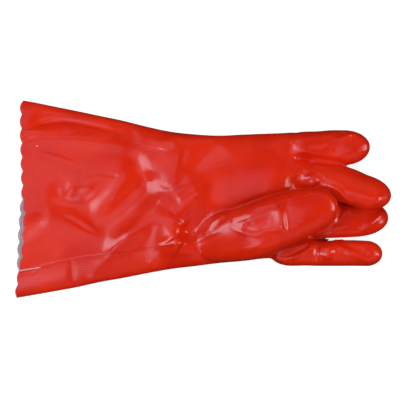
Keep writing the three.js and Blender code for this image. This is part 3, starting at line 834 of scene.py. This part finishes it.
class Finish:
    """A material made by adding nodes. Each method adds one, and gives its result."""

    def __init__(self, name):
        self.material = bpy.data.materials.new(name)
        self.material.use_nodes = True
        self.tree = self.material.node_tree
        self.tree.nodes.clear()

    def add(self, kind, settings=None, sockets=None, out=0):
        node = self.tree.nodes.new(kind)
        for key, value in (settings or {}).items():
            setattr(node, key, value)
        for key, value in (sockets or {}).items():
            if isinstance(value, Strand):
                self.tree.links.new(value.socket, node.inputs[key])
            else:
                node.inputs[key].default_value = value
        return Strand(self, node.outputs[out])

    def places(self):
        return self.add("ShaderNodeTexCoord", out="Object")

    def noise(self, place, scale, detail, rough):
        return self.add("ShaderNodeTexNoise", None, {
            "Vector": place, "Scale": scale, "Detail": detail, "Roughness": rough})

    def between(self, strand, low, high):
        """0 below low, 1 above high, smooth between them."""
        return self.add("ShaderNodeMapRange", {"interpolation_type": "SMOOTHSTEP"},
                        {"Value": strand, "From Min": low, "From Max": high})

    def mixed(self, share, first, second):
        return self.add("ShaderNodeMix", {"data_type": "RGBA"},
                        {0: share, 6: first, 7: second}, out=2)

    def raised(self, height, strength, distance):
        return self.add("ShaderNodeBump", None, {"Strength": strength, "Distance": distance,
                                                 "Height": height})

    def surface(self, **sockets):
        shader = self.add("ShaderNodeBsdfPrincipled", None, sockets)
        end = self.tree.nodes.new("ShaderNodeOutputMaterial")
        self.tree.links.new(shader.socket, end.inputs["Surface"])
        return self.material


def glossy_red():
    """The dipped skin: glossy red with the knit's grain under it."""
    finish = Finish("glossy_red_skin")
    place = finish.places()
    broad = finish.noise(place, 28, 3, 0.55)
    mottle = finish.noise(place, 160, 4, 0.6)
    speck = finish.noise(place, 900, 2, 0.5)
    colour = finish.mixed(finish.between(broad, 0.35, 0.65), DEEP_RED, BRIGHT_RED)
    colour = finish.mixed(finish.between(mottle, 0.45, 0.75) * 0.05, colour, MOTTLE_RED)
    roughness = 0.2 + finish.between(mottle, 0.3, 0.7) * 0.04 + (speck - 0.5) * 0.04
    knit = finish.add("ShaderNodeTexVoronoi", {"feature": "SMOOTH_F1"},
                      {"Vector": place, "Scale": 620, "Smoothness": 0.6, "Randomness": 0.55})
    bump = finish.raised(knit * 0.7 + finish.noise(place, 240, 3, 0.55) * 0.9, 0.16, 0.0003)
    return finish.surface(**{
        "Base Color": colour, "Roughness": roughness, "Normal": bump,
        "Specular IOR Level": 0.44, "Coat Weight": 0.06, "Coat Roughness": 0.12})


def grey_knit():
    """The cotton lining: a grey pink knit of small loops."""
    finish = Finish("grey_cotton_knit")
    place = finish.places()
    rows = finish.add("ShaderNodeTexWave", {"bands_direction": "X"}, {
        "Vector": place, "Scale": 210, "Distortion": 2.2, "Detail": 2, "Detail Scale": 3})
    wales = finish.add("ShaderNodeTexWave", {"bands_direction": "Y"}, {
        "Vector": place, "Scale": 150, "Distortion": 1.6, "Detail": 2, "Detail Scale": 3},
        out="Fac")
    loops = rows * 0.5 + wales * 0.5
    fuzz = finish.noise(place, 1400, 3, 0.7)
    colour = finish.mixed(finish.between(loops, 0.2, 0.8), LOOP_SHADE, LOOP_LIGHT)
    colour = finish.mixed(finish.between(fuzz, 0.4, 0.7) * 0.35, colour, FUZZ_PINK)
    bump = finish.raised(loops + fuzz * 0.5, 0.8, 0.0004)
    return finish.surface(**{"Base Color": colour, "Roughness": 0.92, "Normal": bump,
                             "Sheen Weight": 0.3, "Sheen Roughness": 0.5})


def white_thread():
    """Sewing thread, pale and twisted."""
    finish = Finish("white_sewing_thread")
    place = finish.places()
    twist = finish.add("ShaderNodeTexWave", {"bands_direction": "DIAGONAL"},
                       {"Vector": place, "Scale": 900, "Distortion": 1.5, "Detail": 2}, out="Fac")
    colour = finish.mixed(twist, THREAD_SHADE, THREAD_LIGHT)
    bump = finish.raised(twist, 0.6, 0.0002)
    return finish.surface(**{"Base Color": colour, "Roughness": 0.8, "Normal": bump})


def painted_hole_shade():
    """The stitch holes' dark red, painted shade that stands for the dark inside each hole, varied
    by a fine grain.
    """
    finish = Finish("stitch_hole_painted_shade")
    grain = finish.noise(finish.places(), 1500, 2, 0.6)
    colour = finish.mixed(grain, PAINTED_HOLE_SHADE_DEEP, PAINTED_HOLE_SHADE_PALE)
    bump = finish.raised(grain, 0.4, 0.0002)
    return finish.surface(**{"Base Color": colour, "Roughness": 0.5, "Normal": bump})


def hole_tree(material):
    """Geometry nodes that set small oval stitch holes along a seam."""
    tree = bpy.data.node_groups.new("stitch_holes", "GeometryNodeTree")
    face = tree.interface
    face.new_socket("Seam", in_out="INPUT", socket_type="NodeSocketGeometry")
    for name, size in (("Pitch", STITCH_PITCH), ("Hole length", HOLE_LENGTH),
                       ("Hole width", HOLE_WIDTH)):
        face.new_socket(name, in_out="INPUT", socket_type="NodeSocketFloat").default_value = size
    face.new_socket("Holes", in_out="OUTPUT", socket_type="NodeSocketGeometry")

    def node(kind, **settings):
        made = tree.nodes.new(kind)
        for key, value in settings.items():
            setattr(made, key, value)
        return made

    given, out = node("NodeGroupInput"), node("NodeGroupOutput")
    curve = node("GeometryNodeMeshToCurve")
    spaced = node("GeometryNodeResampleCurve", mode="LENGTH")
    tangent = node("GeometryNodeInputTangent")
    turn = node("FunctionNodeAlignRotationToVector", axis="X")
    bead = node("GeometryNodeMeshUVSphere")
    bead.inputs["Segments"].default_value, bead.inputs["Rings"].default_value = 8, 5
    bead.inputs["Radius"].default_value = 0.5
    size = node("ShaderNodeCombineXYZ")
    set_on = node("GeometryNodeInstanceOnPoints")
    real, finish = node("GeometryNodeRealizeInstances"), node("GeometryNodeSetMaterial")
    finish.inputs["Material"].default_value = material
    link = tree.links.new
    link(given.outputs["Seam"], curve.inputs["Mesh"])
    link(curve.outputs["Curve"], spaced.inputs["Curve"])
    link(given.outputs["Pitch"], spaced.inputs["Length"])
    link(spaced.outputs["Curve"], set_on.inputs["Points"])
    link(bead.outputs["Mesh"], set_on.inputs["Instance"])
    link(tangent.outputs["Tangent"], turn.inputs["Vector"])
    link(turn.outputs["Rotation"], set_on.inputs["Rotation"])
    link(given.outputs["Hole length"], size.inputs["X"])
    link(given.outputs["Hole width"], size.inputs["Y"])
    link(given.outputs["Hole width"], size.inputs["Z"])
    link(size.outputs["Vector"], set_on.inputs["Scale"])
    link(set_on.outputs["Instances"], real.inputs["Geometry"])
    link(real.outputs["Geometry"], finish.inputs["Geometry"])
    link(finish.outputs["Geometry"], out.inputs["Holes"])
    return tree


def stitch_holes(skin, material):
    """The lining's stitches, a row of small dark holes sunk in the seam's groove; their dark red is
    painted shade.
    """
    surface = surface_of(skin.data)
    points = plan(SEAM)
    run = np.concatenate([[0], np.cumsum(np.hypot(*np.diff(points, axis=0).T))])
    steps = np.arange(SEAM_START, run[-1], 1.0)
    path = []
    for x, y in zip(np.interp(steps, run, points[:, 0]), np.interp(steps, run, points[:, 1])):
        hit = seen_from_above(surface, x, y)
        if hit is not None:
            path.append(hit - Vector((0, 0, HOLE_SINK)))
    mesh = bpy.data.meshes.new("stitch_holes")
    mesh.from_pydata(path, [(i, i + 1) for i in range(len(path) - 1)], [])
    holes = placed("stitch_holes", mesh)
    holes.modifiers.new("stitches", "NODES").node_group = hole_tree(material)
    return settle(holes)


def loose_threads(skin, name, courses, radius):
    """Ends of white thread that lie on the skin, of a radius in millimetres."""
    surface = surface_of(skin.data)
    shells = []
    turn = np.arange(6) * math.pi / 3
    for course in courses:
        path = []
        for x, y in plan(course):
            hit = seen_from_above(surface, x, y)
            if hit is not None:
                path.append(np.array(hit) * PER_METRE + (0, 0, radius * 0.5))
        path = np.array(path)
        ahead = np.gradient(path[:, :2], axis=0)
        ahead /= np.hypot(*ahead.T)[:, None]
        across = np.stack([-ahead[:, 1], ahead[:, 0], np.zeros(len(path))], 1)
        shells.append(path[:, None] + TO_MIDDLE
                      + radius * np.cos(turn)[None, :, None] * across[:, None]
                      + radius * np.sin(turn)[None, :, None] * np.array([0, 0, 1]))
    return closed_mesh(name, shells)


def smooth(piece, material):
    """Gives a piece its one material and smooth shading."""
    piece.data.materials.clear()
    piece.data.materials.append(material)
    piece.data.polygons.foreach_set("use_smooth", [True] * len(piece.data.polygons))
    piece.data.update()
    return piece


skin, outer_face = dipped_skin()
smooth(skin, glossy_red())
lining = smooth(knitted_lining(outer_face), grey_knit())
# The stitch holes' finish is painted shade
hole_shade_finish = painted_hole_shade()
holes = smooth(stitch_holes(skin, hole_shade_finish), hole_shade_finish)
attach(holes, "root")
threads = smooth(loose_threads(skin, "seam_thread", THREAD_ENDS, THREAD_RADIUS),
                 white_thread())
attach(threads, "root")

for piece, node, slot in ((skin, "pvc_coating", "red_pvc"),
                          (lining, "cotton_lining", "grey_cotton")):
    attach(piece, "root")
    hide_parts(node)


# The studio, in metres: a pale floor that curves up far out, soft lamps, and the camera
# straight above the glove
FLOOR_SIDES = 48
FLOOR_RINGS = [(3.0, -0.0003), (3.6, 0.25), (3.9, 3.0)]
GLOW = 0.82
ROOM_LIGHT = 0.02
CAMERA_PLACE = (0.00707, -0.01009, 1.8)
VIEW_ACROSS = 0.3907
VIEW_LEVEL = 0.015
SENSOR = 36
DAYLIGHT, SKYLIGHT, WHITE = (0.8, 0.87, 1), (0.72, 0.82, 1), (1, 1, 1)

# name, place, aim, size, power, colour, and whether the skin mirrors it
LAMPS = [
    ("window", (-1.05, 0.1, 0.95), (-0.05, 0, 0), (0.7, 1.1), 12, DAYLIGHT, True),
    ("sky", (-0.62, 0, 1.15), (-0.1, 0, 0), (0.45, 1.8), 2.3, SKYLIGHT, True),
    ("left_low", (-0.4, -0.6, 1.1), (-0.12, 0, 0), (0.3, 0.5), 1.3, SKYLIGHT, True),
    ("left_high", (-0.4, 0.65, 1.1), (-0.12, 0, 0), (0.3, 0.5), 0.6, SKYLIGHT, True),
    ("side", (1.3, -0.05, 0.95), (0.1, 0, 0), (0.6, 0.8), 9, WHITE, True),
    ("far", (0.5, 1.1, 1.15), (0.1, 0, 0), (1.2, 0.8), 7, WHITE, False),
    ("near", (0.5, -1.1, 1.15), (0.1, 0, 0), (1.2, 0.8), 7, WHITE, False),
]


def pale_floor():
    """A round floor that turns up into a wall, lit by its own soft glow."""
    turns = 2 * math.pi * np.arange(FLOOR_SIDES) / FLOOR_SIDES
    points = [(r * math.cos(a), r * math.sin(a), z) for r, z in FLOOR_RINGS for a in turns]
    walls = [(low + k, low + (k + 1) % FLOOR_SIDES,
              low + FLOOR_SIDES + (k + 1) % FLOOR_SIDES, low + FLOOR_SIDES + k)
             for low in (0, FLOOR_SIDES) for k in range(FLOOR_SIDES)]
    mesh = bpy.data.meshes.new("floor")
    mesh.from_pydata(points, [], [tuple(range(FLOOR_SIDES))] + walls)
    pale = Finish("pale_floor")
    mesh.materials.append(pale.surface(**{
        "Base Color": FLOOR_PALE, "Roughness": 0.9, "Specular IOR Level": 0.1,
        "Emission Color": FLOOR_GLOW, "Emission Strength": GLOW}))
    floor = placed("floor", mesh)
    floor.visible_diffuse = floor.visible_glossy = False


def lamp(name, place, aim, size, power, colour, mirrored):
    """A soft oblong lamp that points at its aim."""
    light = bpy.data.lights.new(name, "AREA")
    light.shape, light.size, light.size_y = "RECTANGLE", size[0], size[1]
    light.energy, light.color = power, colour
    made = placed(name, light)
    made.location = place
    made.visible_glossy = mirrored
    made.rotation_euler = (Vector(aim) - Vector(place)).to_track_quat("-Z", "Y").to_euler()


def studio():
    """The floor, the lamps, the faint light of the room and the camera."""
    pale_floor()
    for row in LAMPS:
        lamp(*row)
    world = bpy.data.worlds.new("soft_room")
    world.use_nodes = True
    world.node_tree.nodes["Background"].inputs["Color"].default_value = (1, 1, 1, 1)
    world.node_tree.nodes["Background"].inputs["Strength"].default_value = ROOM_LIGHT
    bpy.context.scene.world = world
    bpy.context.scene.view_settings.view_transform = "Standard"
    lens = bpy.data.cameras.new("camera")
    lens.lens = SENSOR * (CAMERA_PLACE[2] - VIEW_LEVEL) / VIEW_ACROSS
    lens.sensor_width = SENSOR
    camera = placed("camera", lens)
    camera.location = CAMERA_PLACE
    bpy.context.scene.camera = camera


studio()
